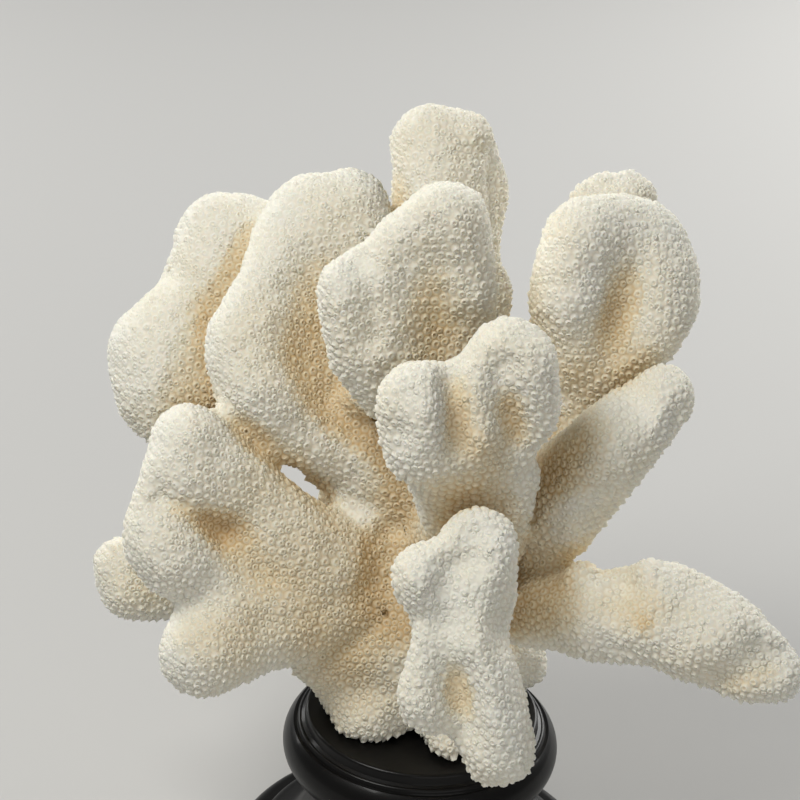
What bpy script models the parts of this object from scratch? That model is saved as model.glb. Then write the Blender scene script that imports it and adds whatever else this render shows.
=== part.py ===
"""A piece of white branching coral that rests on a small turned stand.

Units are metres with +Z up. The origin is the middle of the stand's underside, on the table,
and the front of the piece faces -Y.
"""
import math

import bmesh
import bpy
from mathutils import Vector

MM = 0.001
GAP = 0.3 * MM

# The stand: a round foot, a hollowed neck, a fat bead and a flat top with two fine rings
FOOT_RADIUS = 39 * MM
FOOT_THICKNESS = 7 * MM
FOOT_ROUNDING = 3 * MM
FOOT_CHAMFER = 0.6 * MM
FOOT_STEP = 0.6 * MM
SHOULDER_RADIUS = 33.3 * MM
HOLLOW_FOOT_RADIUS = 32 * MM
HOLLOW_FOOT_HEIGHT = 9.2 * MM
HOLLOW_TOP_HEIGHT = 25.6 * MM
NECK_RADIUS = 21 * MM
FILLET_RADIUS = 23.7 * MM
FILLET_HEIGHTS = (28 * MM, 26.6 * MM)
BEAD_RADIUS = 28.5 * MM
BEAD_MIDDLE = 35 * MM
BEAD_ROUNDING = 6.2 * MM
BEAD_SPAN = (48, -62)
OUTER_RING_RADIUS = 25.6 * MM
OUTER_RING_HEIGHT = 40.6 * MM
TOP_RADIUS = 24 * MM
TOP_HEIGHT = 43 * MM
RING_ROUNDING = 0.6 * MM
STAND_SIDES = 38
HOLLOW_STEPS = 6
BEAD_STEPS = 7

# Shading keeps an edge sharp where its faces meet at more than this many degrees
STAND_CREASE = 40
CORAL_CREASE = 60

# The coral's lobes are placed as they look from the front, from this far above level
LOOKING_DOWN = math.radians(28.2)
ACROSS = Vector((1, 0, 0))
RISE = Vector((0, math.sin(LOOKING_DOWN), math.cos(LOOKING_DOWN)))
TOWARDS = Vector((0, -math.cos(LOOKING_DOWN), math.sin(LOOKING_DOWN)))
TOP_CENTRE = Vector((0, 0, TOP_HEIGHT))

# How finely the lobes are melted together, and the size of the facets that are left
MELT_SIZE = 1.4 * MM
MELT_ROUNDS = 6
FACET_AREA = 12.8e-6
BALL_SUBDIVISIONS = 3
CLEAN_DISTANCE = 0.02 * MM
MERGE_DISTANCE = 0.01 * MM


def seen(right, up, near, radius):
    """A lobe right of, above and nearer than the middle of the stand's top, in millimetres."""
    centre = TOP_CENTRE + (ACROSS * right + RISE * up + TOWARDS * near) * MM
    return centre, radius * MM


def stood(x, y, height, radius):
    """A lobe placed in plan on the stand's top, in millimetres."""
    return TOP_CENTRE + Vector((x, y, height)) * MM, radius * MM


# Each branch is a list of pads, and a pad is the skin stretched round its lobes
BASE = [
    [stood(-10, -6, 3, 9), stood(-16, 2, 10, 9), stood(-4, 2, 14, 11)],
    [stood(-9, 10, 3, 9), stood(-4, 2, 14, 11), stood(8, 8, 4, 9)],
    [stood(9, -4, 3, 8.5), stood(8, 8, 4, 9), stood(6, 2, 14, 11)],
    [stood(6, -16, 2, 4.2), stood(5, -8, 7, 7)],
    [stood(20, 10, 6, 6), stood(8, 8, 10, 9)],
    [seen(-20, 12, 10, 8.5), seen(-1, 15, 8, 12), seen(-8, 33, 4, 11)],
    [seen(-1, 15, 8, 12), seen(2, 31, 8, 13), seen(14, 30, 4, 10)],
    [seen(2, 31, 8, 13), seen(-7, 35, 2, 12), seen(4, 47, 6, 10), seen(11, 42, 2, 9)],
    [seen(-19, 42, -8, 6), seen(-8, 35, -2, 9)],
    [seen(6, 26, -10, 12), seen(-4, 28, -8, 11)],
]

BRANCHES = {
    "branch_back_left": [
        [seen(-46.5, 95, 2, 9.4), seen(-40, 95.5, 2, 8), seen(-37, 76, 3, 9)],
        [seen(-46.5, 95, 2, 9.4), seen(-50, 84, 4, 8.7), seen(-37, 76, 3, 9)],
        [seen(-51, 81, 5, 8.5), seen(-58, 70, 6, 10.7), seen(-56, 61.5, 6, 10.2), seen(-37, 68, 3, 8)],
        [seen(-46, 94, 0, 8), seen(-44, 84, -4, 8), seen(-38, 80, -2, 8)],
        [seen(-37, 76, 3, 9), seen(-37, 66, 3, 8), seen(-18, 51, 0, 6.5)],
    ],
    "branch_left": [
        [seen(-21, 100.5, 12, 9.3), seen(-27.5, 99, 13, 9.3), seen(-32, 92, 15, 8.3)],
        [seen(-32, 92, 15, 8.3), seen(-33.5, 84, 20, 8.3), seen(-19, 84, 13, 6.5)],
        [seen(-33.5, 84, 20, 8.3), seen(-39, 73, 23, 8.5), seen(-18, 67, 15, 6.5)],
        [seen(-39, 70, 23, 8.6), seen(-37, 64, 24, 8.4), seen(-18, 53, 16, 7.5)],
        [seen(-37, 64, 24, 8), seen(-30.5, 57.5, 20, 7.8), seen(-18, 53, 16, 7.5)],
        [seen(-29, 98, 13, 9), seen(-21, 100, 12, 9.3), seen(-18, 84, 13, 6.5), seen(-13, 63, 14, 7)],
        [seen(-19, 84, 13, 6.5), seen(-18, 67, 15, 6.5), seen(-7, 51, 14, 7)],
        [seen(-18, 67, 15, 6.5), seen(-18, 53, 16, 7.5), seen(-4, 43, 12, 8)],
    ],
    "branch_top": [
        [seen(-5, 116, 4, 8.4), seen(1, 116, 2, 8.2), seen(-2, 97, 4, 9)],
        [seen(5.5, 107, 0, 7), seen(1, 116, 2, 8), seen(3, 97, 2, 8)],
        [seen(0, 104, -5, 8), seen(4, 94, -6, 7.5), seen(4, 80, -2, 8)],
        [seen(-2, 97, 4, 9), seen(6, 86, 2, 8), seen(3, 56, 4, 8.5)],
    ],
    "branch_middle": [
        [seen(-1, 98, 42, 8.3), seen(-8, 92, 42, 8), seen(2, 85, 38, 8)],
        [seen(-18, 84, 42, 7.5), seen(-8, 90, 41, 7.5), seen(-7, 81, 38, 7)],
        [seen(-18, 84, 42, 7.5), seen(-15, 72, 38, 7.6), seen(-5, 73, 36, 7)],
        [seen(-15, 72, 38, 7.6), seen(-10, 66, 34, 7), seen(0, 62, 28, 7.5)],
        [seen(-8, 90, 41, 7.5), seen(2, 85, 38, 8), seen(0, 62, 28, 7.5), seen(-15, 74, 38, 7)],
        [seen(0, 62, 28, 7.5), seen(-5, 70, 34, 7), seen(3, 46, 16, 8)],
        [seen(-15, 63.5, 24, 3.5), seen(-6, 64, 26, 5.5)],
    ],
    "branch_front_upper": [
        [seen(-5, 63, 62, 8), seen(-3, 55, 58, 8), seen(5, 64, 58, 6.8)],
        [seen(12, 71.5, 60, 9), seen(14, 63, 56, 8.2), seen(5, 64, 58, 6.8)],
        [seen(-3, 55, 58, 8), seen(5, 64, 58, 6.8), seen(14, 63, 56, 8), seen(8, 52, 50, 7.5)],
        [seen(8, 52, 50, 7.5), seen(0, 53, 54, 7.5), seen(6, 40, 32, 8)],
        [seen(8, 52, 50, 7.5), seen(6, 40, 32, 8), seen(4, 34, 18, 9)],
    ],
    "branch_right_upper": [
        [seen(26, 97, 34, 8.5), seen(33, 98.5, 31, 8), seen(38, 97.5, 30, 7.9), seen(33, 86, 27, 7.5)],
        [seen(38, 97.5, 30, 7.9), seen(41.5, 91.5, 30, 7.9), seen(42, 86, 30, 7.9), seen(33, 86, 27, 7.5)],
        [seen(42, 86, 30, 7.9), seen(40, 80, 29, 7.6), seen(29, 68, 24, 7.5), seen(33, 86, 27, 7.5)],
        [seen(26, 97, 34, 8.5), seen(24.5, 85, 32, 8.6), seen(27, 70, 24, 8), seen(33, 86, 27, 7.5)],
        [seen(27, 72, 24, 8), seen(27, 63, 22, 7.5), seen(16, 42, 10, 8.5)],
    ],
    "branch_right_middle": [
        [seen(42.5, 67, 42, 6.5), seen(33.3, 57.3, 40, 8.9)],
        [seen(33.3, 57.3, 40, 8.9), seen(29.5, 51, 38, 8.4), seen(25, 43, 32, 8.3)],
        [seen(25, 43, 32, 8.3), seen(28, 53, 36, 8), seen(14, 33, 15, 9)],
    ],
    "branch_right_low": [
        [seen(12, 25, 20, 8), seen(25, 24, 34, 7.8), seen(33, 23.5, 40, 8.4)],
        [seen(33, 23.5, 40, 8.4), seen(44, 25.5, 44, 10.2)],
        [seen(44, 25.5, 44, 10.2), seen(54.5, 21.5, 46, 9.8)],
        [seen(54.5, 21.5, 46, 9.8), seen(61.5, 17.5, 48, 8), seen(65.5, 15.5, 48, 6.2)],
    ],
    "branch_front_low": [
        [seen(8, 37, 62, 7.8), seen(7.5, 29, 60, 8.2)],
        [seen(-1, 30.5, 64, 7.4), seen(7.5, 29, 60, 8)],
        [seen(7.5, 29, 60, 8.2), seen(5, 19.5, 62, 8.5)],
        [seen(5, 19.5, 62, 8.5), seen(1, 8, 62, 6.7)],
        [seen(7.5, 18, 62, 7.5), seen(11, 8.5, 60, 7.8), seen(14, -1, 58, 7.2)],
        [seen(7.5, 29, 60, 8), seen(5, 20, 60, 8), seen(6, 25, 30, 8.5), seen(5, 24, 20, 9)],
    ],
    "branch_left_low": [
        [seen(-49, 53, 30, 7.9), seen(-50.5, 45, 30, 8), seen(-34.5, 42, 24, 6.7)],
        [seen(-50.5, 45, 30, 8), seen(-52.6, 33.5, 30, 8.6), seen(-40, 33.5, 23, 6.5)],
        [seen(-52.6, 33.5, 30, 8.7), seen(-50.5, 29.5, 30, 7.6), seen(-40, 33.5, 23, 6.5)],
        [seen(-50.5, 30, 29, 7.4), seen(-38, 23, 24, 7.2), seen(-40, 33.5, 23, 6.5)],
        [seen(-44, 11.6, 28, 9.1), seen(-35.5, 14.7, 22, 8), seen(-38, 23, 24, 7.4)],
        [seen(-34.5, 42, 24, 6.7), seen(-40, 33.5, 23, 6.5), seen(-18, 31, 17, 7.2), seen(-26, 21, 18, 8)],
        [seen(-38, 23, 24, 7.4), seen(-35.5, 14.7, 22, 8), seen(-26, 21, 18, 8), seen(-13, 22, 12, 8)],
        [seen(-40, 33.5, 23, 6.5), seen(-38, 23, 24, 7.2), seen(-26, 21, 18, 8)],
    ],
    "branch_back_left_low": [
        [seen(-63.5, 26, 2, 6.6), seen(-61.5, 21, 2, 6.4), seen(-47.5, 22, -6, 6.5)],
        [seen(-47.5, 22, -6, 6.5), seen(-46, 37, -16, 7.5), seen(-30, 24, -8, 7)],
        [seen(-47.5, 22, -6, 6.5), seen(-30, 22, -6, 7), seen(-14, 24, -4, 8)],
    ],
    "branch_back_right": [
        [seen(35.2, 105.8, 4, 7), seen(31, 103.5, 4, 7), seen(32, 86, 0, 8)],
        [seen(38, 96, -4, 7.5), seen(31, 103.5, 4, 7), seen(26.5, 93, 0, 6.5), seen(32, 84, 0, 8)],
        [seen(32, 84, 0, 8), seen(25, 80, 0, 7.5), seen(12, 49, 0, 8)],
    ],
    "branch_back": [
        [seen(19, 62, -24, 8), seen(6, 64, -26, 8), seen(10, 46, -14, 8.5)],
        [seen(19, 62, -24, 8), seen(26, 66, -20, 7), seen(14, 52, -16, 8)],
        [seen(10, 46, -14, 8.5), seen(5, 60, -22, 8), seen(5, 34, -6, 9)],
    ],
}


def finish_material(name, colour, roughness):
    material = bpy.data.materials.new(name)
    material.use_nodes = True
    shader = material.node_tree.nodes["Principled BSDF"]
    shader.inputs["Base Color"].default_value = (*colour, 1)
    shader.inputs["Roughness"].default_value = roughness
    shader.inputs["Metallic"].default_value = 0
    return material


def new_object(name, mesh):
    piece = bpy.data.objects.new(name, mesh)
    bpy.context.scene.collection.objects.link(piece)
    return piece


def evaluated_copy(piece):
    """The mesh of an object with its modifiers worked in."""
    depsgraph = bpy.context.evaluated_depsgraph_get()
    depsgraph.update()
    return bpy.data.meshes.new_from_object(piece.evaluated_get(depsgraph))


def work_in_modifiers(piece):
    mesh = evaluated_copy(piece)
    piece.modifiers.clear()
    piece.data = mesh


def surface_area(mesh):
    return sum(polygon.area for polygon in mesh.polygons)


def lobe_points(centre, radius):
    """The points of a round ball of the given radius."""
    ball = bmesh.new()
    bmesh.ops.create_icosphere(ball, subdivisions=BALL_SUBDIVISIONS, radius=radius)
    points = [centre + vertex.co for vertex in ball.verts]
    ball.free()
    return points


def add_pad(shape, lobes):
    """Stretches one closed skin round a group of balls."""
    pad = bmesh.new()
    for centre, radius in lobes:
        for point in lobe_points(centre, radius):
            pad.verts.new(point)
    hull = bmesh.ops.convex_hull(pad, input=pad.verts)
    unused = [vertex for vertex in hull["geom_interior"] if isinstance(vertex, bmesh.types.BMVert)]
    bmesh.ops.delete(pad, geom=unused, context="VERTS")
    mesh = bpy.data.meshes.new("pad")
    pad.to_mesh(mesh)
    pad.free()
    shape.from_mesh(mesh)
    bpy.data.meshes.remove(mesh)


def melted_branch(name, pads):
    """Melts a branch's pads into one rounded lump and leaves it in small facets."""
    shape = bmesh.new()
    for lobes in pads:
        add_pad(shape, lobes)
    mesh = bpy.data.meshes.new(name)
    shape.to_mesh(mesh)
    shape.free()
    branch = new_object(name, mesh)
    melt = branch.modifiers.new("melt", "REMESH")
    melt.mode = "VOXEL"
    melt.voxel_size = MELT_SIZE
    soften = branch.modifiers.new("soften", "SMOOTH")
    soften.factor = 0.5
    soften.iterations = MELT_ROUNDS
    work_in_modifiers(branch)
    facets = branch.modifiers.new("facets", "DECIMATE")
    wanted = surface_area(branch.data) / FACET_AREA
    facets.ratio = min(1, wanted / (2 * len(branch.data.polygons)))
    work_in_modifiers(branch)
    return branch


def keep_largest(piece):
    """Leaves only the biggest closed body of a mesh that a cut has parted."""
    shape = bmesh.new()
    shape.from_mesh(piece.data)
    bmesh.ops.remove_doubles(shape, verts=shape.verts, dist=CLEAN_DISTANCE)
    bmesh.ops.dissolve_degenerate(shape, edges=shape.edges, dist=CLEAN_DISTANCE)
    bmesh.ops.triangulate(shape, faces=shape.faces)
    shape.verts.index_update()
    unseen = set(shape.verts)
    bodies = []
    while unseen:
        start = unseen.pop()
        body = {start}
        waiting = [start]
        while waiting:
            vertex = waiting.pop()
            for edge in vertex.link_edges:
                other = edge.other_vert(vertex)
                if other in unseen:
                    unseen.discard(other)
                    body.add(other)
                    waiting.append(other)
        bodies.append(body)
    bodies.sort(key=len)
    for body in bodies[:-1]:
        bmesh.ops.delete(shape, geom=list(body), context="VERTS")
    shape.to_mesh(piece.data)
    shape.free()


def reach(piece, axis):
    """The lowest and highest place of a piece along one axis, with the gap on either side."""
    places = [vertex.co[axis] for vertex in piece.data.vertices]
    return min(places) - GAP, max(places) + GAP


def boxes_meet(one, other):
    for axis in range(3):
        low, high = reach(one, axis)
        other_low, other_high = reach(other, axis)
        if high < other_low or other_high < low:
            return False
    return True


def cut_clear(piece, neighbour):
    """Cuts a piece back so that the fork's gap is left between it and its neighbour."""
    if not boxes_meet(piece, neighbour):
        return
    cutter = new_object(neighbour.name + "_clearance", neighbour.data.copy())
    swell = cutter.modifiers.new("swell", "DISPLACE")
    swell.strength = GAP
    swell.mid_level = 0
    cutter.hide_render = True
    cutter.display_type = "WIRE"
    cut = piece.modifiers.new("fork", "BOOLEAN")
    cut.operation = "DIFFERENCE"
    cut.solver = "EXACT"
    cut.object = cutter
    work_in_modifiers(piece)
    bpy.data.objects.remove(cutter)
    keep_largest(piece)


def cut_flat(piece, height):
    """Cuts the foot of the coral off level and closes the cut."""
    shape = bmesh.new()
    shape.from_mesh(piece.data)
    cut = bmesh.ops.bisect_plane(
        shape,
        geom=shape.verts[:] + shape.edges[:] + shape.faces[:],
        plane_co=(0, 0, height),
        plane_no=(0, 0, 1),
        clear_inner=True,
    )
    rim = [edge for edge in cut["geom_cut"] if isinstance(edge, bmesh.types.BMEdge)]
    bmesh.ops.holes_fill(shape, edges=rim, sides=0)
    bmesh.ops.triangulate(shape, faces=shape.faces)
    shape.to_mesh(piece.data)
    shape.free()


def arc(centre, radius, start, end, steps):
    """Points on a round stretch of the stand's outline, by angle in degrees from outwards."""
    points = []
    for step in range(steps + 1):
        angle = math.radians(start + (end - start) * step / steps)
        points.append((centre[0] + radius * math.cos(angle), centre[1] + radius * math.sin(angle)))
    return points


def stand_outline():
    """The turned outline, from the middle of the top down to the middle of the underside."""
    outline = [(0, TOP_HEIGHT), (TOP_RADIUS - 2 * RING_ROUNDING, TOP_HEIGHT)]
    outline += arc((TOP_RADIUS - RING_ROUNDING, TOP_HEIGHT - RING_ROUNDING), RING_ROUNDING, 90, 0, 2)
    outline += [(TOP_RADIUS, OUTER_RING_HEIGHT + RING_ROUNDING)]
    ring_centre = (OUTER_RING_RADIUS - RING_ROUNDING, OUTER_RING_HEIGHT - RING_ROUNDING)
    outline += arc(ring_centre, RING_ROUNDING, 60, 0, 2)
    outline += arc((BEAD_RADIUS - BEAD_ROUNDING, BEAD_MIDDLE), BEAD_ROUNDING, *BEAD_SPAN, BEAD_STEPS)
    outline += [(FILLET_RADIUS, height) for height in FILLET_HEIGHTS]
    for step in range(HOLLOW_STEPS + 1):
        fall = step / HOLLOW_STEPS
        height = HOLLOW_TOP_HEIGHT + (HOLLOW_FOOT_HEIGHT - HOLLOW_TOP_HEIGHT) * fall
        flare = 1 - math.sqrt(1 - fall ** 2)
        outline.append((NECK_RADIUS + (HOLLOW_FOOT_RADIUS - NECK_RADIUS) * flare, height))
    outline += [(SHOULDER_RADIUS, FOOT_THICKNESS + FOOT_STEP), (SHOULDER_RADIUS + FOOT_STEP, FOOT_THICKNESS)]
    outline += arc((FOOT_RADIUS - FOOT_ROUNDING, FOOT_THICKNESS - FOOT_ROUNDING), FOOT_ROUNDING, 90, 0, 4)
    outline += [(FOOT_RADIUS, FOOT_CHAMFER), (FOOT_RADIUS - FOOT_CHAMFER, 0), (0, 0)]
    return outline


def make_stand():
    outline = stand_outline()
    mesh = bpy.data.meshes.new("stand")
    edges = [(index, index + 1) for index in range(len(outline) - 1)]
    mesh.from_pydata([(radius, 0, height) for radius, height in outline], edges, [])
    stand = new_object("stand", mesh)
    turn = stand.modifiers.new("turn", "SCREW")
    turn.angle = math.tau
    turn.steps = STAND_SIDES
    turn.render_steps = STAND_SIDES
    turn.use_merge_vertices = True
    turn.merge_threshold = MERGE_DISTANCE
    turn.use_normal_calculate = False
    work_in_modifiers(stand)
    return stand


def smooth_shaded(piece, crease_degrees):
    piece.data.shade_smooth()
    piece.data.set_sharp_from_angle(angle=math.radians(crease_degrees))


for old in list(bpy.data.objects):
    bpy.data.objects.remove(old)

coral_white = finish_material("coral_white", (0.80, 0.74, 0.62), 0.85)
black_lacquer = finish_material("black_lacquer", (0.012, 0.011, 0.010), 0.28)

stand = make_stand()
stand.data.materials.append(black_lacquer)
smooth_shaded(stand, STAND_CREASE)

base = melted_branch("coral_base", BASE)
cut_flat(base, TOP_HEIGHT + GAP)
pieces = [base]
for branch_name, branch_pads in BRANCHES.items():
    branch = melted_branch(branch_name, branch_pads)
    for earlier in pieces:
        cut_clear(branch, earlier)
    pieces.append(branch)
for piece in pieces:
    piece.data.materials.clear()
    piece.data.materials.append(coral_white)
    smooth_shaded(piece, CORAL_CREASE)
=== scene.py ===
import math

import bmesh
import bpy
import numpy as np
from mathutils import Matrix, Vector, noise
from mathutils.bvhtree import BVHTree


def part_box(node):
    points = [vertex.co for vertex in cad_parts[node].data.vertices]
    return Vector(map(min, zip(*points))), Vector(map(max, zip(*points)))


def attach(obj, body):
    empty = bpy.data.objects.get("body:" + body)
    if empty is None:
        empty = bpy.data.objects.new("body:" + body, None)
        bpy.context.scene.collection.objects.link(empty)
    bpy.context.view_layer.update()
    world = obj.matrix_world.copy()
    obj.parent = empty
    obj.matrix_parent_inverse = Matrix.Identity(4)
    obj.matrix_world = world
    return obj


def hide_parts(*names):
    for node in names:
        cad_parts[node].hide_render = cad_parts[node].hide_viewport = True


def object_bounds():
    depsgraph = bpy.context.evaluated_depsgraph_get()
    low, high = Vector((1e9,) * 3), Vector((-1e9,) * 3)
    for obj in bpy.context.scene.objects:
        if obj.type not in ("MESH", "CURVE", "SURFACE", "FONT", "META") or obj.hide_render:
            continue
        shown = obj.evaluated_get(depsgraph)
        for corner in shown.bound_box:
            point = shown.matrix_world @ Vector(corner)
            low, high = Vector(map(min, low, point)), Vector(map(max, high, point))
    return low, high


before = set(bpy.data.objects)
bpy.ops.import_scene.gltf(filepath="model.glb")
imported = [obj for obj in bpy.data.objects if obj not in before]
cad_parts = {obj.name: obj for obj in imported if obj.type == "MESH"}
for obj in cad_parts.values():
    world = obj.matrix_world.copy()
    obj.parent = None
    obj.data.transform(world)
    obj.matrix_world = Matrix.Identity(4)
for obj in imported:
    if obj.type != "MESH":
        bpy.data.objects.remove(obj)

cad_low, cad_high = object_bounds()
MM = 0.001
bpy.ops.object.select_all(action="DESELECT")


# THE CAMERA
# It stands where the photograph was taken from: 0.6 m away, looking 28 degrees down, and slightly
# rolled.

LOOKING_DOWN = math.radians(28.2)
ROLL = math.radians(3.2)
ACROSS = Vector((1, 0, 0))
RISE = Vector((0, math.sin(LOOKING_DOWN), math.cos(LOOKING_DOWN)))
TOWARDS = Vector((0, -math.cos(LOOKING_DOWN), math.sin(LOOKING_DOWN)))
FRAME_PIXELS = 800
stand_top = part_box("stand")[1].z


def seen(right, up, near):
    """A point right of, above and nearer than the middle of the stand's top, in millimetres."""
    return Vector((0, 0, stand_top)) + (ACROSS * right + RISE * up + TOWARDS * near) * MM


camera_data = bpy.data.cameras.new("camera")
camera_data.sensor_width = 36
camera_data.lens = 130.7
camera = bpy.data.objects.new("camera", camera_data)
bpy.context.scene.collection.objects.link(camera)
picture_right = ACROSS * math.cos(ROLL) + RISE * math.sin(ROLL)
picture_up = RISE * math.cos(ROLL) - ACROSS * math.sin(ROLL)
eye = seen(-8.1, 63.3, 600)
facing = Matrix((picture_right, picture_up, TOWARDS)).transposed().to_4x4()
camera.matrix_world = Matrix.Translation(eye) @ facing
bpy.context.scene.camera = camera


# THE CORAL'S GROWN FORM
# One stony skeleton, grown as a trunk with thick flattened lobes. Here the solids are melted into
# one skin with soft forks, and its swellings, ridges, creases and hollows are worked into it.

# Balls that are melted in with the solids, as right, up, near and radius: webs that close narrow
# forks, and swellings that round out edges and tips
SADDLES = [
    (-20.6, 66.4, 6.7, 2.6),
    (-22.6, 70.4, 6.7, 2.6),
    (-24.4, 73.8, 6.5, 2.6),
    (-26.0, 76.6, 6.5, 2.6),
    (-27.6, 79.8, 6.5, 2.4),
    (-19.0, 62.4, 6.3, 2.7),
    (-17.4, 58.4, 5.9, 2.8),
    (-15.9, 54.6, 5.5, 3.0),
    (-14.6, 51.0, 5.2, 3.2),
    (-13.2, 47.4, 5.0, 3.4),
    (-9.2, 89.9, 10.5, 2.5),
    (-8.5, 86.3, 10.7, 2.5),
    (14.8, 50.5, 50.0, 4.6),
    (14.2, 45.8, 47.0, 4.6),
    (13.6, 41.2, 43.0, 4.6),
    (13.0, 36.8, 38.5, 4.6),
    (28.6, 31.3, 40.5, 3.3),
    (24.9, 33.4, 31.0, 2.1),
    (41.6, 31.3, 46.4, 4.5),
    (30.8, 18.6, 42.5, 2.3),
    (36.4, 17.2, 42.6, 2.1),
    (-46.0, 60.0, 10.8, 2.1),
    (-5.8, 34.8, 16.2, 1.9),
    (-13.5, 37.0, 15.5, 4.0),
    (-11.0, 33.5, 14.5, 4.0),
    (-10.5, 29.5, 14.5, 4.0),
    (-9.5, 25.5, 14.0, 4.0),
    (-7.0, 36.5, 13.0, 4.0),
    (3.0, 118.0, 5.5, 5.2),
    (27.8, 106.4, 4.5, 3.8),
    (31.2, 109.0, 4.5, 3.8),
    (36.0, 109.6, 4.5, 3.6),
    (38.6, 107.4, 4.5, 3.8),
    (-53.9, 94.3, 3.0, 2.9),
    (-42.9, 101.4, 3.0, 2.8),
    (-24.4, 47.6, 13, 2.4),
    (-20.9, 46.4, 13.5, 3.0),
    (-17.4, 43.6, 14, 3.7),
    (-14.6, 41.2, 14.5, 3.7),
]
SKIN_SWELL = 0.55 * MM
SKIN_SINK = 0.75 * MM
SKIN_GRAIN = 0.8 * MM
SKIN_SOFTENING = (5, 2)
SOFTENING_FACTOR = 0.5
WELD_DISTANCE = 0.01 * MM
BALL_SUBDIVISIONS = 4
SWELLINGS = [(9 * MM, 0.55 * MM), (4.2 * MM, 0.28 * MM)]
REST_HEIGHT = stand_top + 0.06 * MM

coral_nodes = sorted(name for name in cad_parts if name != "stand")


def only(piece):
    bpy.ops.object.select_all(action="DESELECT")
    piece.select_set(True)
    bpy.context.view_layer.objects.active = piece


def applied(piece, kind, **settings):
    """Adds a modifier with these settings and applies it."""
    only(piece)
    modifier = piece.modifiers.new("step", kind)
    for name, value in settings.items():
        setattr(modifier, name, value)
    bpy.ops.object.modifier_apply(modifier=modifier.name)


def points_of(mesh):
    points = np.empty(len(mesh.vertices) * 3)
    mesh.vertices.foreach_get("co", points)
    return points.reshape(-1, 3)


def normals_of(mesh):
    normals = np.empty(len(mesh.vertices) * 3)
    mesh.vertex_normals.foreach_get("vector", normals)
    return normals.reshape(-1, 3)


def set_points(mesh, points):
    mesh.vertices.foreach_set("co", points.ravel())
    mesh.update()


def patches_of(members, neighbours_of):
    """Splits these members into patches that hang together, the largest one last."""
    left = set(members)
    patches = []
    while left:
        patch = [left.pop()]
        for member in patch:
            for near in neighbours_of(member):
                if near in left:
                    left.discard(near)
                    patch.append(near)
        patches.append(patch)
    return sorted(patches, key=len)


def corners_round(vertex):
    return [edge.other_vert(vertex) for edge in vertex.link_edges]


def keep_largest(net):
    """Deletes every closed skin but the largest, such as a pocket left inside a fork."""
    for patch in patches_of(net.verts, corners_round)[:-1]:
        bmesh.ops.delete(net, geom=patch, context="VERTS")


copies = []
for node_name in coral_nodes:
    copy = bpy.data.objects.new(node_name + "_copy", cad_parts[node_name].data.copy())
    bpy.context.scene.collection.objects.link(copy)
    only(copy)
    bpy.ops.object.mode_set(mode="EDIT")
    bpy.ops.mesh.select_all(action="SELECT")
    bpy.ops.mesh.remove_doubles(threshold=WELD_DISTANCE)
    bpy.ops.object.mode_set(mode="OBJECT")
    applied(copy, "DISPLACE", strength=SKIN_SWELL, mid_level=0)
    copies.append(copy)
for right, up, near, radius in SADDLES:
    bpy.ops.mesh.primitive_ico_sphere_add(
        subdivisions=BALL_SUBDIVISIONS,
        radius=radius * MM + SKIN_SWELL,
        location=seen(right, up, near),
    )
    copies.append(bpy.context.object)
for copy in copies:
    copy.select_set(True)
bpy.context.view_layer.objects.active = copies[0]
bpy.ops.object.join()
form = copies[0]
applied(form, "REMESH", mode="VOXEL", voxel_size=SKIN_GRAIN)
applied(form, "SMOOTH", factor=SOFTENING_FACTOR, iterations=SKIN_SOFTENING[0])
applied(form, "DISPLACE", strength=-SKIN_SINK, mid_level=0)
applied(form, "REMESH", mode="VOXEL", voxel_size=SKIN_GRAIN)
applied(form, "SMOOTH", factor=SOFTENING_FACTOR, iterations=SKIN_SOFTENING[1])
pockets = bmesh.new()
pockets.from_mesh(form.data)
keep_largest(pockets)
pockets.to_mesh(form.data)
pockets.free()

form_points = points_of(form.data)
form_normals = normals_of(form.data)
rise = np.zeros(len(form_points))
for size, height in SWELLINGS:
    rise += height * np.array([noise.noise(Vector(point) / size) for point in form_points])
form_points += form_normals * rise[:, None]
set_points(form.data, form_points)
skin = BVHTree.FromObject(form, bpy.context.evaluated_depsgraph_get())

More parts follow.
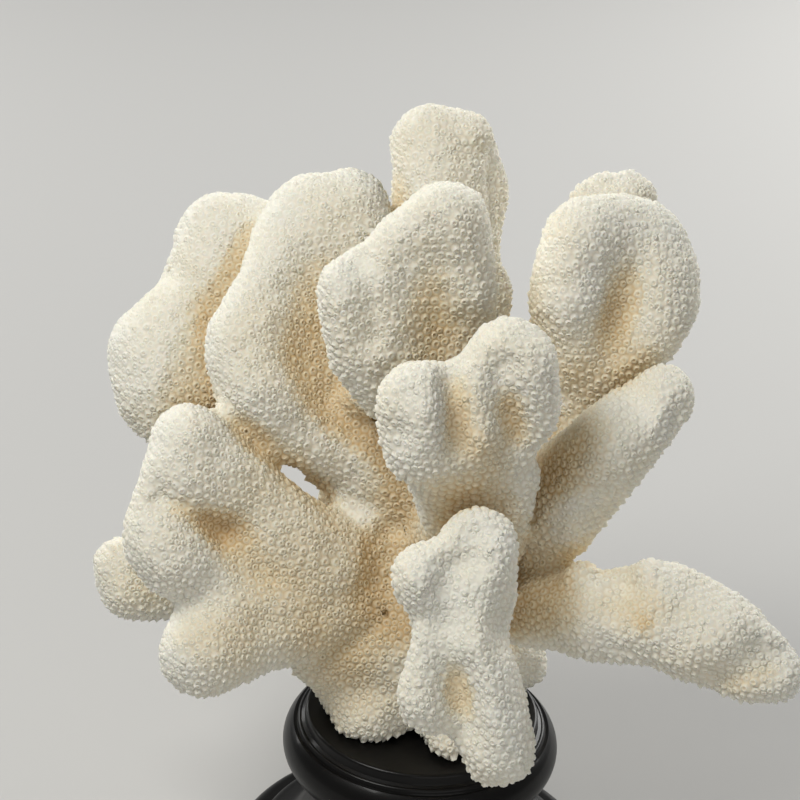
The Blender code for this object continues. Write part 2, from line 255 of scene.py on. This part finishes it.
# Ridges (raised) and creases (sunk), each from one pixel of the photograph to another, with the
# half width and the height in millimetres
STROKES = [
    ((168, 272), (206, 306), 3.6, -1.5),
    ((258, 232), (228, 340), 4.5, 0.9),
    ((304, 290), (330, 392), 8.5, -3.6),
    ((492, 150), (494, 225), 1.6, -1.2),
    ((445, 115), (447, 165), 4.0, 0.5),
    ((430, 275), (440, 325), 8.0, -2.7),
    ((364, 262), (372, 335), 3.2, -1.9),
    ((334, 270), (340, 350), 4.0, 0.8),
    ((446, 196), (392, 236), 3.5, 0.6),
    ((453, 384), (460, 440), 3.8, -3.3),
    ((503, 374), (516, 436), 4.2, -3.5),
    ((403, 402), (405, 430), 3.6, -1.1),
    ((478, 378), (488, 440), 2.8, 1.3),
    ((434, 372), (434, 440), 2.8, 0.7),
    ((546, 356), (541, 430), 3.6, 0.8),
    ((164, 500), (222, 532), 3.2, -3.0),
    ((226, 536), (268, 574), 3.2, -0.5),
    ((186, 420), (200, 480), 5.0, 0.6),
    ((150, 560), (196, 560), 4.0, 0.6),
    ((449, 622), (453, 700), 4.6, -2.2),
    ((456, 690), (467, 732), 4.2, -2.8),
    ((446, 636), (450, 664), 3.6, -1.7),
    ((501, 622), (503, 642), 3.4, -1.6),
    ((474, 538), (474, 556), 3.2, -2.2),
    ((452, 572), (446, 586), 3.8, -2.8),
    ((418, 640), (406, 700), 3.6, 0.6),
    ((474, 650), (500, 740), 3.6, 0.8),
    ((640, 235), (615, 310), 6.0, -0.9),
    ((615, 310), (592, 392), 6.0, -0.6),
    ((575, 235), (562, 320), 4.0, 0.6),
    ((674, 376), (676, 416), 1.9, -1.1),
    ((634, 388), (636, 404), 4.6, -2.2),
    ((642, 602), (680, 608), 6.0, -1.7),
    ((610, 592), (612, 646), 2.6, -1.5),
    ((607, 507), (603, 517), 4.6, -2.6),
    ((619, 580), (624, 584), 3.2, -2.2),
    ((722, 682), (766, 662), 4.4, -3.2),
    ((700, 612), (768, 640), 3.2, 0.7),
]
STROKE_WRAP = 0.3


def touched(pixel):
    """The point of the skin that the camera sees at this pixel, and the way it faces there."""
    across, down = pixel[0] - FRAME_PIXELS / 2, FRAME_PIXELS / 2 - pixel[1]
    focal_pixels = camera_data.lens / camera_data.sensor_width * FRAME_PIXELS
    way = picture_right * across + picture_up * down - TOWARDS * focal_pixels
    place, normal = skin.ray_cast(eye, way.normalized())[:2]
    return np.array(place), np.array(normal)


def brushed(points, start, end, half_width):
    """How much of a stroke from one place to another reaches each of these points."""
    run = end - start
    share = np.clip((points - start) @ run / (run @ run), 0, 1)
    off = np.linalg.norm(points - start - share[:, None] * run, axis=1)
    return np.exp(-((off / (half_width * MM)) ** 2))


worked = np.zeros_like(form_points)
for start, end, half_width, height in STROKES:
    start_place, start_normal = touched(start)
    end_place, end_normal = touched(end)
    way = (start_normal + end_normal) / np.linalg.norm(start_normal + end_normal)
    weight = brushed(form_points, start_place, end_place, half_width)
    weight = weight * np.clip(form_normals @ way + STROKE_WRAP, 0, 1)
    worked += (height * MM * weight)[:, None] * way
form_points += worked
form_points[:, 2] = np.maximum(form_points[:, 2], REST_HEIGHT)
set_points(form.data, form_points)
skin = BVHTree.FromObject(form, bpy.context.evaluated_depsgraph_get())


# THE CUPS' PLACES
# The living coral sat in small cups spread evenly over the whole skin. An even net of triangles is
# drawn over the form, and every corner of the net is the middle of one cup.

CUP_SPACING = 1.64 * MM
NET_GRAIN = CUP_SPACING * 0.95
LONGEST_SIDE = CUP_SPACING * 1.36
SHORTEST_SIDE = CUP_SPACING * 0.74
NET_ROUNDS = 7
NET_RELAXING = 0.6
net_object = form.copy()
net_object.data = form.data.copy()
bpy.context.scene.collection.objects.link(net_object)
applied(net_object, "REMESH", mode="VOXEL", voxel_size=NET_GRAIN)


def short_edges(net, least):
    """Edges that can be drawn together in one go, none of them next to another."""
    taken = set()
    chosen = []
    for edge in net.edges:
        one, other = edge.verts
        if edge.calc_length() > least or one in taken or other in taken:
            continue
        round_one = set(corners_round(one))
        round_other = set(corners_round(other))
        if len(round_one & round_other) != 2:
            continue
        chosen.append(edge)
        taken |= round_one | round_other
    return chosen


def relax(net, share):
    """Moves each corner towards the middle of its neighbours, and back onto the skin."""
    net.verts.index_update()
    net.normal_update()
    places = np.array([vertex.co for vertex in net.verts])
    normals = np.array([vertex.normal for vertex in net.verts])
    ends = np.array([[vertex.index for vertex in edge.verts] for edge in net.edges])
    total = np.zeros_like(places)
    count = np.zeros(len(places))
    for near, far in ((0, 1), (1, 0)):
        np.add.at(total, ends[:, near], places[ends[:, far]])
        np.add.at(count, ends[:, near], 1)
    step = total / count[:, None] - places
    step -= normals * (step * normals).sum(1)[:, None]
    places += share * step
    for vertex, place in zip(net.verts, places):
        vertex.co = skin.find_nearest(Vector(place))[0]


net = bmesh.new()
net.from_mesh(net_object.data)
bpy.data.objects.remove(net_object)
keep_largest(net)
bmesh.ops.triangulate(net, faces=net.faces)
for net_round in range(NET_ROUNDS):
    long_edges = [edge for edge in net.edges if edge.calc_length() > LONGEST_SIDE]
    bmesh.ops.subdivide_edges(net, edges=long_edges, cuts=1)
    bmesh.ops.triangulate(net, faces=[face for face in net.faces if len(face.verts) > 3])
    bmesh.ops.collapse(net, edges=short_edges(net, SHORTEST_SIDE))
    bmesh.ops.beautify_fill(net, faces=net.faces, edges=net.edges, method="ANGLE")
    relax(net, NET_RELAXING)
net.normal_update()
net.verts.index_update()
cup_places = np.array([vertex.co for vertex in net.verts])
cup_normals = np.array([vertex.normal for vertex in net.verts])
triangles = np.array([[vertex.index for vertex in face.verts] for face in net.faces])
net.free()


# THE CUPS
# Each cup is a low stony ring round a small pit, with a hood on the side that faces the branch's
# tip. Rings and pits are built straight onto the net, so that every cup is real relief.

# Rings and pits: their radii as shares of the way to the next cup, and how far the radii vary
RING_SHARE = 0.35
RING_SPREAD = (0.85, 1.1)
RING_HEIGHT = 0.25 * MM
PIT_SHARE = 0.18
PIT_SPREAD = (0.85, 1.15)
PIT_DEPTH = 0.12 * MM
PIT_RIM_HEIGHT = 0.15 * MM
VALLEY_DEPTH = 0.18 * MM
GRIT = 0.16 * MM
STRAY = 0.11
VIGOUR = (0.6, 1.4)
# Hoods: highest on steep walls, lower on a cup's lower side, and low at the tips
HOOD_HEIGHT = 0.42 * MM
HOOD_SPREAD = (0.7, 1.3)
HOOD_BACK = 0.35
HOOD_LEAN = 0.1
LIP_SHARE = 0.7
UPWARD_PULL = 0.35
STEEPNESS = 0.6
STEEPNESS_LIMITS = (0.35, 1.2)
# The tips, where the cups are young: how far out they are, how squarely they face outward, and
# what their hoods and pits lose
TIP_REACH = (38 * MM, 62 * MM)
TIP_FACING = 0.55
TIP_FACING_RANGE = 0.35
TIP_HOOD_LOSS = 0.75
TIP_PIT_LOSS = 0.9
# Hollows and forks, found by short rays that meet other skin, and by how far a cup lies below
# its surroundings, for the painted shade and tan of the hollows
SKY_RAYS = 40
SKY_REACH = 34 * MM
SKY_LIFT = 0.4
SKY_SLANT = 0.1
CREASE_ROUNDS = 16
CREASE_EVENING = 8
CREASE_DEPTH = 0.9 * MM
CREASE_SHARE = 0.3
CREST_LIMIT = -0.4
EVENING_ROUNDS = 3
# How deep in a cup or a valley a point lies, for its tint, which is painted shade with some real
# tan:
# a ring's crest is 0 and a pit's floor 1
PIT_RIM_TINT = 0.45
SIDE_MIDDLE_TINT = 0.75
CENTRE_TINT = 0.9
UNDERSIDE_TURN = -0.7
REST_BAND = 0.2 * MM
CORE = np.array(seen(2, 30, 6))
rng = np.random.default_rng(11)
cups = len(cup_places)


def unit(vectors):
    return vectors / np.maximum(np.linalg.norm(vectors, axis=1, keepdims=True), 1e-12)


def flattened(vectors, normals):
    return vectors - normals * (vectors * normals).sum(1, keepdims=True)


def averaged(values, rounds):
    """Evens a value of the cups out over their neighbours."""
    for evening_round in range(rounds):
        total = values.copy()
        for near, far in ((0, 1), (1, 0)):
            np.add.at(total, edge_ends[:, near], values[edge_ends[:, far]])
        values = (total.T / (links + 1)).T
    return values


sides = np.concatenate([triangles[:, [0, 1]], triangles[:, [1, 2]], triangles[:, [2, 0]]])
keys, side_edge = np.unique(sides.min(1) * cups + sides.max(1), return_inverse=True)
edge_ends = np.stack([keys // cups, keys % cups], axis=1)
edge_length = np.linalg.norm(cup_places[edge_ends[:, 0]] - cup_places[edge_ends[:, 1]], axis=1)
reach = np.zeros(cups)
links = np.zeros(cups)
for end in (0, 1):
    np.add.at(reach, edge_ends[:, end], edge_length)
    np.add.at(links, edge_ends[:, end], 1)
reach /= links

spiral = np.arange(SKY_RAYS) + 0.5
lift = 1 - 2 * spiral / SKY_RAYS
turn = spiral * math.pi * (3 - math.sqrt(5))
level = np.sqrt(1 - lift**2)
ray_ways = np.stack([np.cos(turn) * level, np.sin(turn) * level, lift], 1)
buried = np.zeros(cups)
for index in range(cups):
    start = Vector(cup_places[index] + cup_normals[index] * SKY_LIFT * MM)
    faced = ray_ways @ cup_normals[index]
    for way, share in zip(ray_ways[faced > SKY_SLANT], faced[faced > SKY_SLANT]):
        hit = skin.ray_cast(start, Vector(way), SKY_REACH)[3]
        if hit is not None:
            buried[index] += share * (1 - hit / SKY_REACH)
    buried[index] /= faced[faced > SKY_SLANT].sum()
creased = (averaged(cup_places, CREASE_ROUNDS) - cup_places) * cup_normals
creased = np.clip(averaged(creased.sum(1), CREASE_EVENING) / CREASE_DEPTH, CREST_LIMIT, 1)
buried = np.clip(averaged(buried, EVENING_ROUNDS) + CREASE_SHARE * creased, 0, 1)

outward = unit(cup_places - CORE)
upward = unit(flattened(outward + np.array([0, 0, UPWARD_PULL]), cup_normals))
resting = (cup_places[:, 2] < REST_HEIGHT + REST_BAND) & (cup_normals[:, 2] < UNDERSIDE_TURN)
distance = np.linalg.norm(cup_places - CORE, axis=1)
facing_out = (cup_normals * outward).sum(1)
tip = np.clip((facing_out - TIP_FACING) / TIP_FACING_RANGE, 0, 1)
tip *= np.clip((distance - TIP_REACH[0]) / (TIP_REACH[1] - TIP_REACH[0]), 0, 1)
tip = averaged(tip, EVENING_ROUNDS)
vigour = np.where(resting, 0, rng.uniform(*VIGOUR, cups))
steepness = np.clip(STEEPNESS - STEEPNESS * cup_normals[:, 2], *STEEPNESS_LIMITS)
steepness *= 1 - TIP_HOOD_LOSS * tip
hood = HOOD_HEIGHT * vigour * steepness * rng.uniform(*HOOD_SPREAD, cups)
pit_depth = PIT_DEPTH * vigour * (1 - TIP_PIT_LOSS * tip)
ring_radius = RING_SHARE * reach * rng.uniform(*RING_SPREAD, cups)
pit_radius = PIT_SHARE * reach * rng.uniform(*PIT_SPREAD, cups)


def ring_points(owner, towards, radius, height, hooded):
    """Points of the cups' rings in the given directions, raised into a hood on the upper side."""
    normals = cup_normals[owner]
    direction = unit(flattened(towards - cup_places[owner], normals))
    rise = HOOD_BACK + (1 - HOOD_BACK) * (direction * upward[owner]).sum(1)
    rise = np.clip(rise, 0, 1) * hood[owner] * hooded
    across = radius[owner] * (1 - HOOD_LEAN * rise / HOOD_HEIGHT)
    lift = height * vigour[owner] + rise
    return cup_places[owner] + direction * across[:, None] + normals * lift[:, None]


middles = (cup_places[edge_ends[:, 0]] + cup_places[edge_ends[:, 1]]) / 2
stray = rng.normal(0, 1, (cups, 3)) * STRAY * reach[:, None]
cup_places = cup_places + flattened(np.where(resting[:, None], 0, stray), cup_normals)
middle_normals = unit(cup_normals[edge_ends[:, 0]] + cup_normals[edge_ends[:, 1]])
centres = cup_places[triangles].mean(1)
centre_normals = unit(cup_normals[triangles].sum(1))
groups = [cup_places - cup_normals * pit_depth[:, None]]
depths = [np.full(cups, 1.0)]
owners = [np.arange(cups)]
for end in (0, 1):
    owner, other = edge_ends[:, end], cup_places[edge_ends[:, 1 - end]]
    groups.append(ring_points(owner, other, ring_radius, RING_HEIGHT, 1))
    groups.append(ring_points(owner, other, pit_radius, PIT_RIM_HEIGHT, LIP_SHARE))
    depths += [np.zeros(len(keys)), np.full(len(keys), PIT_RIM_TINT)]
    owners += [owner, owner]
grit = rng.uniform(-GRIT, GRIT, len(keys)) - VALLEY_DEPTH
groups.append(middles + middle_normals * grit[:, None])
grit = rng.uniform(-GRIT, GRIT, len(triangles)) - VALLEY_DEPTH
groups.append(centres + centre_normals * grit[:, None])
depths += [np.full(len(keys), SIDE_MIDDLE_TINT), np.full(len(triangles), CENTRE_TINT)]
owners += [edge_ends[:, 0], triangles[:, 0]]
starts = np.cumsum([0] + [len(group) for group in groups])
coral_points = np.concatenate(groups)
coral_points = np.clip(coral_points, (cad_low.x, cad_low.y, REST_HEIGHT), tuple(cad_high))
point_depth = np.concatenate(depths)
point_owner = np.concatenate(owners)

side_of = side_edge.reshape(3, len(triangles))
ring_at = [starts[1], starts[3]]
pit_at = [starts[2], starts[4]]
centre_at = starts[6] + np.arange(len(triangles))
wedges = []
for corner in range(3):
    owner = triangles[:, corner]
    next_side, last_side = side_of[corner], side_of[corner - 1]
    next_end = (owner > triangles[:, (corner + 1) % 3]).astype(int)
    last_end = (owner > triangles[:, corner - 1]).astype(int)
    ring_next = np.choose(next_end, ring_at) + next_side
    ring_last = np.choose(last_end, ring_at) + last_side
    pit_next = np.choose(next_end, pit_at) + next_side
    pit_last = np.choose(last_end, pit_at) + last_side
    middle_next, middle_last = starts[5] + next_side, starts[5] + last_side
    wedge = [
        (owner, pit_next, pit_last),
        (pit_next, ring_next, ring_last),
        (pit_next, ring_last, pit_last),
        (ring_next, middle_next, centre_at),
        (ring_next, centre_at, ring_last),
        (centre_at, middle_last, ring_last),
    ]
    wedges.append(np.stack([np.stack(face, axis=1) for face in wedge], axis=1))
wedges = np.stack(wedges, axis=1)


# THE CORAL'S PARTING INTO BRANCHES
# The skin is parted at the forks, along the valleys between cups, into the trunk and its branches.
# Each is closed inside with a sunk cap. Bare bleached skeleton, dry and matt, with no coating; its
# colour carries painted shade in hollows, forks and cups, and painted highlights in a few places.

CAP_SINK = 1.2 * MM
VOTE_ROUNDS = 4
OWN_VOTE = 1.5
# Painted shade of forks and hollows, with some real tan; more tan towards the trunk, up to this
# distance from the coral's middle; and what the tips lose of this colour and of their cups' tint
BURIED_SHADE_AND_TAN = 1.25
BURIED_SHADE_AND_TAN_LIMIT = 0.46
INNER_TAN = 0.2
INNER_REACH = (20 * MM, 48 * MM)
TIP_BLEACH = 0.12
TIP_TINT_LOSS = 0.8
# Painted shade with some real tan, and painted highlights (negative) where lamps behind light the
# skin, from one pixel of the photograph to another, with the half width in millimetres and strength
PAINTED_SHADE_AND_HIGHLIGHT_STROKES = [
    ((455, 385), (465, 440), 3.2, 0.30),
    ((512, 400), (516, 432), 3.0, 0.34),
    ((455, 455), (490, 470), 6.0, 0.20),
    ((182, 508), (222, 532), 3.0, 0.30),
    ((250, 505), (300, 580), 11.0, 0.13),
    ((642, 622), (646, 626), 1.6, 0.30),
    ((560, 600), (640, 615), 5.0, 0.12),
    ((600, 432), (570, 480), 6.0, 0.20),
    ((452, 650), (458, 715), 3.4, 0.14),
    ((452, 572), (446, 586), 3.0, 0.10),
    ((320, 636), (345, 660), 6.5, 0.27),
    ((195, 300), (205, 318), 3.5, 0.12),
    ((428, 250), (450, 330), 7.0, 0.20),
    ((628, 250), (600, 380), 10.0, 0.17),
    ((150, 330), (170, 400), 9.0, 0.10),
    ((340, 700), (360, 690), 8.0, 0.12),
    ((180, 640), (240, 640), 9.0, 0.21),
    ((480, 400), (492, 440), 6.0, 0.22),
    ((732, 684), (768, 672), 3.5, 0.25),
    ((640, 602), (684, 608), 6.0, 0.16),
    ((108, 578), (138, 590), 8.0, 0.13),
    ((674, 255), (680, 300), 5.0, 0.09),
    ((500, 180), (500, 230), 4.0, -0.25),
    ((508, 285), (508, 300), 4.0, -0.40),
    ((328, 474), (358, 512), 4.5, -0.60),
    ((400, 500), (385, 560), 6.0, -0.16),
    ((545, 548), (560, 515), 6.0, -0.34),
    ((570, 412), (600, 395), 6.0, -0.40),
    ((540, 660), (535, 668), 4.0, -0.20),
]


def grown_mesh(name, faces):
    """A closed mesh of the coral's points that these faces use, capped where it was parted."""
    used, faces = np.unique(faces, return_inverse=True)
    faces = faces.reshape(-1, 3)
    places = coral_points[used]
    normals = point_normals[used]
    values = point_values[used]
    forward = np.concatenate([faces[:, [0, 1]], faces[:, [1, 2]], faces[:, [2, 0]]])
    known = set(map(tuple, forward))
    following = {end: start for start, end in known if (end, start) not in known}
    added_places, added_faces, added_values, added_normals = [], [], [], []
    while following:
        first = next(iter(following))
        loop = [first]
        step = following.pop(first)
        while step != first:
            loop.append(step)
            step = following.pop(step)
        sunk = places[loop] - normals[loop] * CAP_SINK
        base = len(places) + sum(len(group) for group in added_places)
        middle = base + len(loop)
        added_places.append(np.concatenate([sunk, sunk.mean(0)[None]]))
        added_normals.append(np.concatenate([normals[loop], normals[loop].mean(0)[None]]))
        added_values.append(np.concatenate([values[loop], values[loop].mean(0)[None]]))
        for index, corner in enumerate(loop):
            after = (index + 1) % len(loop)
            added_faces.append((corner, loop[after], base + after))
            added_faces.append((corner, base + after, base + index))
            added_faces.append((base + index, base + after, middle))
    if added_places:
        places = np.concatenate([places] + added_places)
        normals = np.concatenate([normals] + added_normals)
        values = np.concatenate([values] + added_values)
        faces = np.concatenate([faces, np.array(added_faces)])
    mesh = bpy.data.meshes.new(name)
    mesh.vertices.add(len(places))
    mesh.vertices.foreach_set("co", places.ravel())
    mesh.loops.add(faces.size)
    mesh.loops.foreach_set("vertex_index", faces.ravel())
    mesh.polygons.add(len(faces))
    mesh.polygons.foreach_set("loop_start", np.arange(0, faces.size, 3))
    mesh.polygons.foreach_set("loop_total", np.full(len(faces), 3))
    mesh.update(calc_edges=True)
    mesh.shade_smooth()
    for column, value in enumerate(("depth", "stain_and_painted_light")):
        layer = mesh.attributes.new(value, "FLOAT", "POINT")
        layer.data.foreach_set("value", np.ascontiguousarray(values[:, column]))
    mesh.normals_split_custom_set_from_vertices(normals)
    return mesh


all_faces = wedges.reshape(-1, 3)
corners = coral_points[all_faces]
face_normals = np.cross(corners[:, 1] - corners[:, 0], corners[:, 2] - corners[:, 0])
point_normals = np.zeros_like(coral_points)
for corner in range(3):
    np.add.at(point_normals, all_faces[:, corner], face_normals)
point_normals = unit(point_normals)
inner = np.clip(1 - (distance - INNER_REACH[0]) / INNER_REACH[1], 0, 1)
# Colour value of the skin: painted shade in hollows and forks with some real tan, more tan towards
# the trunk, whiter tips
stain_and_painted_light = np.minimum(buried * BURIED_SHADE_AND_TAN, BURIED_SHADE_AND_TAN_LIMIT)
stain_and_painted_light = stain_and_painted_light + inner * INNER_TAN - tip * TIP_BLEACH
# The strokes lay on painted shade with some tan, and painted highlights where lamps behind light the
# skin
for start, end, half_width, amount in PAINTED_SHADE_AND_HIGHLIGHT_STROKES:
    stain_and_painted_light += amount * brushed(cup_places, touched(start)[0], touched(end)[0], half_width)
point_depth *= 1 - TIP_TINT_LOSS * tip[point_owner]
point_values = np.stack([point_depth, stain_and_painted_light[point_owner]], axis=1)

depsgraph = bpy.context.evaluated_depsgraph_get()
node_trees = [BVHTree.FromObject(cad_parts[name], depsgraph) for name in coral_nodes]
nearness = []
for place in cup_places:
    nearness.append([tree.find_nearest(Vector(place))[3] for tree in node_trees])
label = np.array(nearness).argmin(1)
for vote_round in range(VOTE_ROUNDS):
    votes = np.zeros((cups, len(coral_nodes)))
    votes[np.arange(cups), label] += OWN_VOTE
    for near, far in ((0, 1), (1, 0)):
        np.add.at(votes, (edge_ends[:, near], label[edge_ends[:, far]]), 1)
    label = votes.argmax(1)
neighbours = [[] for cup in range(cups)]
for one, other in edge_ends:
    neighbours[one].append(other)
    neighbours[other].append(one)
for branch in range(len(coral_nodes)):
    for patch in patches_of(np.flatnonzero(label == branch), neighbours.__getitem__)[:-1]:
        around = [label[near] for cup in patch for near in neighbours[cup]]
        around = [other for other in around if other != branch]
        label[patch] = np.bincount(around).argmax()

BLEACHED = (0.88, 0.87, 0.80)
CREAM = (0.85, 0.815, 0.69)
TAN = (0.82, 0.73, 0.54)
BROWN = (0.68, 0.54, 0.34)
# The pits' colour: painted shade of the cups, with some real tan
PIT_TINT = (0.80, 0.61, 0.37)
CLOUD_STAIN = 0.24
PIT_SHADE_AND_TAN = 1.7
LEAST_PIT_SHADE_AND_TAN = 0.10
coral_material = bpy.data.materials.new("bleached coral")
coral_material.use_nodes = True
nodes = coral_material.node_tree.nodes
links_of = coral_material.node_tree.links
shader = nodes["Principled BSDF"]
shader.inputs["Roughness"].default_value = 0.82
shader.inputs["Specular IOR Level"].default_value = 0.35
shader.inputs["Subsurface Weight"].default_value = 0.12
shader.inputs["Subsurface Radius"].default_value = (1.0, 0.7, 0.42)
shader.inputs["Subsurface Scale"].default_value = 0.8 * MM


def attribute(name):
    node = nodes.new("ShaderNodeAttribute")
    node.attribute_name = name
    return node.outputs["Fac"]


def ramp(value, *stops):
    node = nodes.new("ShaderNodeValToRGB")
    while len(node.color_ramp.elements) < len(stops):
        node.color_ramp.elements.new(0.5)
    for element, (place, colour) in zip(node.color_ramp.elements, stops):
        element.position = place
        element.color = (*colour, 1)
    links_of.new(value, node.inputs["Fac"])
    return node.outputs["Color"]


place_node = nodes.new("ShaderNodeTexCoord")
clouds = nodes.new("ShaderNodeTexNoise")
clouds.inputs["Scale"].default_value = 70
clouds.inputs["Detail"].default_value = 3
links_of.new(place_node.outputs["Object"], clouds.inputs["Vector"])


def calculated(operation, *values):
    node = nodes.new("ShaderNodeMath")
    node.operation = operation
    node.use_clamp = True
    for socket, value in zip(node.inputs, values):
        if isinstance(value, (int, float)):
            socket.default_value = value
        else:
            links_of.new(value, socket)
    return node.outputs[0]


# The skin's colour runs from bleached to brown with this value: painted shade of hollows and forks,
# painted highlights, real tan and a random cloud of tone
evened = calculated("SUBTRACT", attribute("stain_and_painted_light"), CLOUD_STAIN / 2)
hollow = calculated("MULTIPLY_ADD", clouds.outputs["Fac"], CLOUD_STAIN, evened)
skin_colour = ramp(hollow, (0.04, BLEACHED), (0.20, CREAM), (0.46, TAN), (0.85, BROWN))
# Pits and valleys of the cups darker and tanner, more so in the skin's hollows: painted shade of the
# cups with some real tan
pit_shade_and_tan = calculated("MULTIPLY_ADD", hollow, PIT_SHADE_AND_TAN, LEAST_PIT_SHADE_AND_TAN)
pit_share = calculated("MULTIPLY", attribute("depth"), pit_shade_and_tan)
cup_tint = ramp(pit_share, (0.0, (1.0, 1.0, 1.0)), (1.0, PIT_TINT))
tinted = nodes.new("ShaderNodeMix")
tinted.data_type = "RGBA"
tinted.blend_type = "MULTIPLY"
tinted.inputs["Factor"].default_value = 1
links_of.new(skin_colour, tinted.inputs["A"])
links_of.new(cup_tint, tinted.inputs["B"])
links_of.new(tinted.outputs["Result"], shader.inputs["Base Color"])
grain = nodes.new("ShaderNodeTexNoise")
grain.inputs["Scale"].default_value = 2600
grain.inputs["Detail"].default_value = 3
links_of.new(place_node.outputs["Object"], grain.inputs["Vector"])
bump = nodes.new("ShaderNodeBump")
bump.inputs["Strength"].default_value = 0.35
bump.inputs["Distance"].default_value = 0.12 * MM
links_of.new(grain.outputs["Fac"], bump.inputs["Height"])
links_of.new(bump.outputs["Normal"], shader.inputs["Normal"])

bpy.data.objects.remove(form)
for branch, node_name in enumerate(coral_nodes):
    mesh = grown_mesh(node_name + "_grown", wedges[label[triangles] == branch].reshape(-1, 3))
    mesh.materials.append(coral_material)
    piece = bpy.data.objects.new(node_name + "_grown", mesh)
    bpy.context.scene.collection.objects.link(piece)
    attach(piece, "root")
    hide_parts(node_name)


# THE STAND
# A round turned wooden stand in black satin lacquer: a plain foot, a swollen neck, a fat bead and a
# stepped top plate. It is one turned piece, as the lathe left it.

TURN_STEPS = 160
SHARP_TURN = math.radians(38)
# Radii and heights in millimetres
FOOT_EDGE = 38.8
TOP = 43
NECK_STEPS = 24
NECK_RADIUS, NECK_FLARE = 21, 11
NECK_TOP, NECK_HEIGHT = 25.6, 16.4


def arc(across, height, radius, start, end, steps):
    """Points of the stand's outline on an arc, in millimetres, from one angle to another."""
    turns = np.radians(np.linspace(start, end, steps + 1))
    return [(across + radius * math.cos(turn), height + radius * math.sin(turn)) for turn in turns]


outline = [(0, TOP), (10, TOP), (17, TOP), (22, TOP), (22.9, TOP)]
outline += arc(23.3, 42.3, 0.7, 90, 0, 6)
outline += [(24, 41.3), (24.15, 40.9)]
outline += arc(25.0, 40.0, 0.6, 110, 0, 6)
outline += [(25.6, 39.8), (25.75, 39.55)]
outline += arc(22.3, 35, 6.2, 48, -62, 28)
outline += arc(23.9, 28.6, 0.5, 60, -70, 5)
outline += [(23.6, 27.6), (23.4, 26.8), (22.6, 26.4)]
for step in range(NECK_STEPS + 1):
    fall = step / NECK_STEPS
    flare = NECK_FLARE * (1 - math.sqrt(1 - fall**2))
    outline.append((NECK_RADIUS + flare, NECK_TOP - NECK_HEIGHT * fall))
outline += [(32.8, 9.0), (33.3, 8.5), (33.4, 7.4), (33.9, 7.0)]
outline += arc(FOOT_EDGE - 3, 4, 3, 90, 0, 12)
outline += [(FOOT_EDGE, 0.7), (FOOT_EDGE - 0.2, 0.25), (FOOT_EDGE - 0.7, 0), (20, 0), (0, 0)]
stand_mesh = bpy.data.meshes.new("stand_turned")
stand_mesh.from_pydata(
    [(radius * MM, 0, height * MM) for radius, height in outline],
    [(index, index + 1) for index in range(len(outline) - 1)],
    [],
)
stand = bpy.data.objects.new("stand_turned", stand_mesh)
bpy.context.scene.collection.objects.link(stand)
applied(
    stand,
    "SCREW",
    angle=math.tau,
    steps=TURN_STEPS,
    render_steps=TURN_STEPS,
    use_merge_vertices=True,
    merge_threshold=WELD_DISTANCE,
)
only(stand)
bpy.ops.object.mode_set(mode="EDIT")
bpy.ops.mesh.select_all(action="SELECT")
bpy.ops.mesh.normals_make_consistent(inside=False)
bpy.ops.object.mode_set(mode="OBJECT")
bpy.ops.object.shade_smooth_by_angle(angle=SHARP_TURN)

lacquer = bpy.data.materials.new("black lacquer")
lacquer.use_nodes = True
nodes = lacquer.node_tree.nodes
links_of = lacquer.node_tree.links
shader = nodes["Principled BSDF"]
shader.inputs["Base Color"].default_value = (0.0045, 0.0042, 0.004, 1)
shader.inputs["Roughness"].default_value = 0.38
shader.inputs["Specular IOR Level"].default_value = 0.12
shader.inputs["Coat Weight"].default_value = 0.18
shader.inputs["Coat Roughness"].default_value = 0.12
place_node = nodes.new("ShaderNodeTexCoord")
grain = nodes.new("ShaderNodeTexNoise")
grain.inputs["Scale"].default_value = 900
grain.inputs["Detail"].default_value = 4
links_of.new(place_node.outputs["Object"], grain.inputs["Vector"])
bump = nodes.new("ShaderNodeBump")
bump.inputs["Strength"].default_value = 0.12
bump.inputs["Distance"].default_value = 0.15 * MM
links_of.new(grain.outputs["Fac"], bump.inputs["Height"])
links_of.new(bump.outputs["Normal"], shader.inputs["Normal"])
stand.data.materials.append(lacquer)
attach(stand, "root")
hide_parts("stand")


# FLOOR AND LIGHT
# A plain pale floor, a soft key light high on the left, a broad fill in front, a rim light behind on
# the right, two lights that lift the back, and a little even light all round.

bpy.ops.mesh.primitive_plane_add(size=4, location=(0, 0, 0))
floor = bpy.context.object
floor.name = "floor"
floor_material = bpy.data.materials.new("pale floor")
floor_material.use_nodes = True
floor_shader = floor_material.node_tree.nodes["Principled BSDF"]
floor_shader.inputs["Base Color"].default_value = (0.50, 0.495, 0.485, 1)
floor_shader.inputs["Roughness"].default_value = 0.8
floor.data.materials.append(floor_material)


def area_light(name, place, aim, size, power, colour):
    bpy.ops.object.light_add(type="AREA", location=place)
    light = bpy.context.object
    light.name = name
    light.data.size = size
    light.data.energy = power
    light.data.color = colour
    light.rotation_euler = (Vector(aim) - Vector(place)).to_track_quat("-Z", "Y").to_euler()


coral_middle = (0, 0, 0.09)
area_light("key", (-0.28, -0.18, 0.58), coral_middle, 0.26, 2.1, (1.0, 0.995, 0.96))
area_light("fill", (0.24, -0.80, 0.36), coral_middle, 0.70, 1.35, (1.0, 1.0, 0.975))
area_light("rim", (0.52, 0.38, 0.40), coral_middle, 0.30, 1.6, (1.0, 1.0, 0.98))
area_light("back right", (0.36, 0.62, 0.30), coral_middle, 0.30, 2.0, (1.0, 1.0, 0.98))
area_light("back left", (-0.50, 0.50, 0.40), coral_middle, 0.40, 2.8, (1.0, 1.0, 0.98))
world = bpy.data.worlds.new("soft room")
world.use_nodes = True
world.node_tree.nodes["Background"].inputs["Color"].default_value = (1.0, 1.0, 1.0, 1)
world.node_tree.nodes["Background"].inputs["Strength"].default_value = 0.16
bpy.context.scene.world = world
bpy.context.scene.view_settings.view_transform = "Standard"
